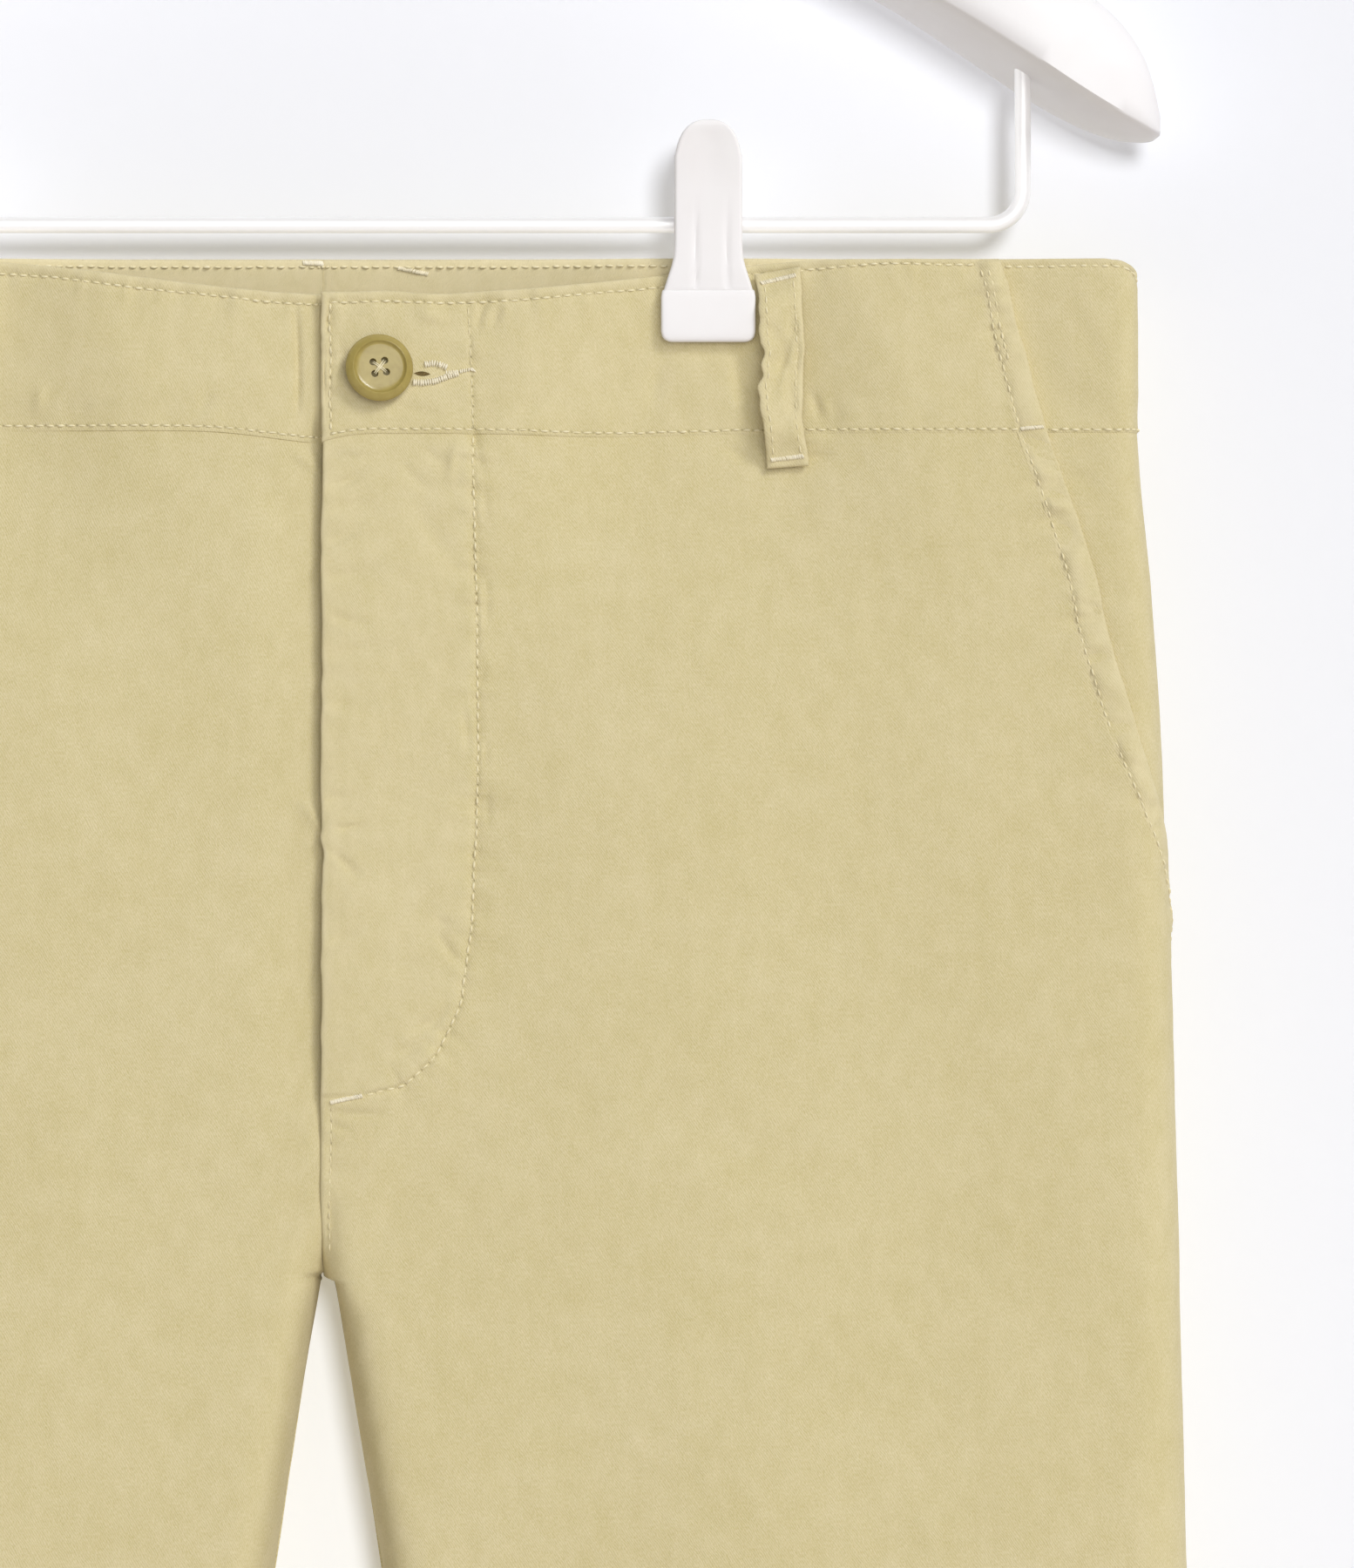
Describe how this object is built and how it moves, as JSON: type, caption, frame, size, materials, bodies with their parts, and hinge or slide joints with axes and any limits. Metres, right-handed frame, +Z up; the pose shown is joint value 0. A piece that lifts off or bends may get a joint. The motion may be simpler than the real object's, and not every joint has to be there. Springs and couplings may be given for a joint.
{
  "type": "chino shorts on a clip hanger",
  "caption": "Flat-hanging cotton twill chino shorts with a button waistband and slanted pockets, held by the clips of a moulded trouser hanger with a wire hook.",
  "frame": {"origin": "inside top of the hanger's hook, where the hook sits on a rail", "axes": "+Z up, -Y the way the garment's front faces, +X towards the wearer's left, which is the viewer's right"},
  "size_m": [0.4582, 0.0511, 0.729],
  "materials": {
    "twill": "washed sand-coloured cotton twill, steep fine wales, soft and matt",
    "sewing_thread": "polyester topstitching thread, a little lighter and shinier than the cloth",
    "pocketing": "plain woven cream cotton pocketing",
    "zip_tape": "woven polyester zip tape",
    "button_resin": "cast polyester resin, horn-like olive with a polished rim",
    "hanger_plastic": "white moulded polypropylene, satin",
    "coated_wire": "steel wire with a smooth white coating",
    "hook_steel": "polished plated steel wire",
    "spring_steel": "plain wound spring steel"
  },
  "bodies": {
    "root": {"front_left": "twill", "front_right": "twill", "back_left": "twill", "back_right": "twill", "pocket_facing_left": "twill", "pocket_facing_right": "twill", "pocket_strip_left": "twill", "pocket_strip_right": "twill", "pocket_bag_left": "pocketing", "pocket_bag_right": "pocketing", "waistband_front_left": "twill", "waistband_front_right": "twill", "waistband_back_left": "twill", "waistband_back_right": "twill", "belt_loop_front_left": "twill", "belt_loop_front_right": "twill", "belt_loop_back_left": "twill", "belt_loop_back_right": "twill", "belt_loop_centre_back": "twill", "hem_left": "twill", "hem_right": "twill", "zip": "zip_tape", "button": "button_resin", "hanger_body": "hanger_plastic", "hanger_bar": "coated_wire", "hanger_hook": "hook_steel", "clip_left_jaw_front": "hanger_plastic", "clip_left_jaw_back": "hanger_plastic", "clip_left_spring": "spring_steel", "clip_right_jaw_front": "hanger_plastic", "clip_right_jaw_back": "hanger_plastic", "clip_right_spring": "spring_steel"}
  },
  "joints": []
}
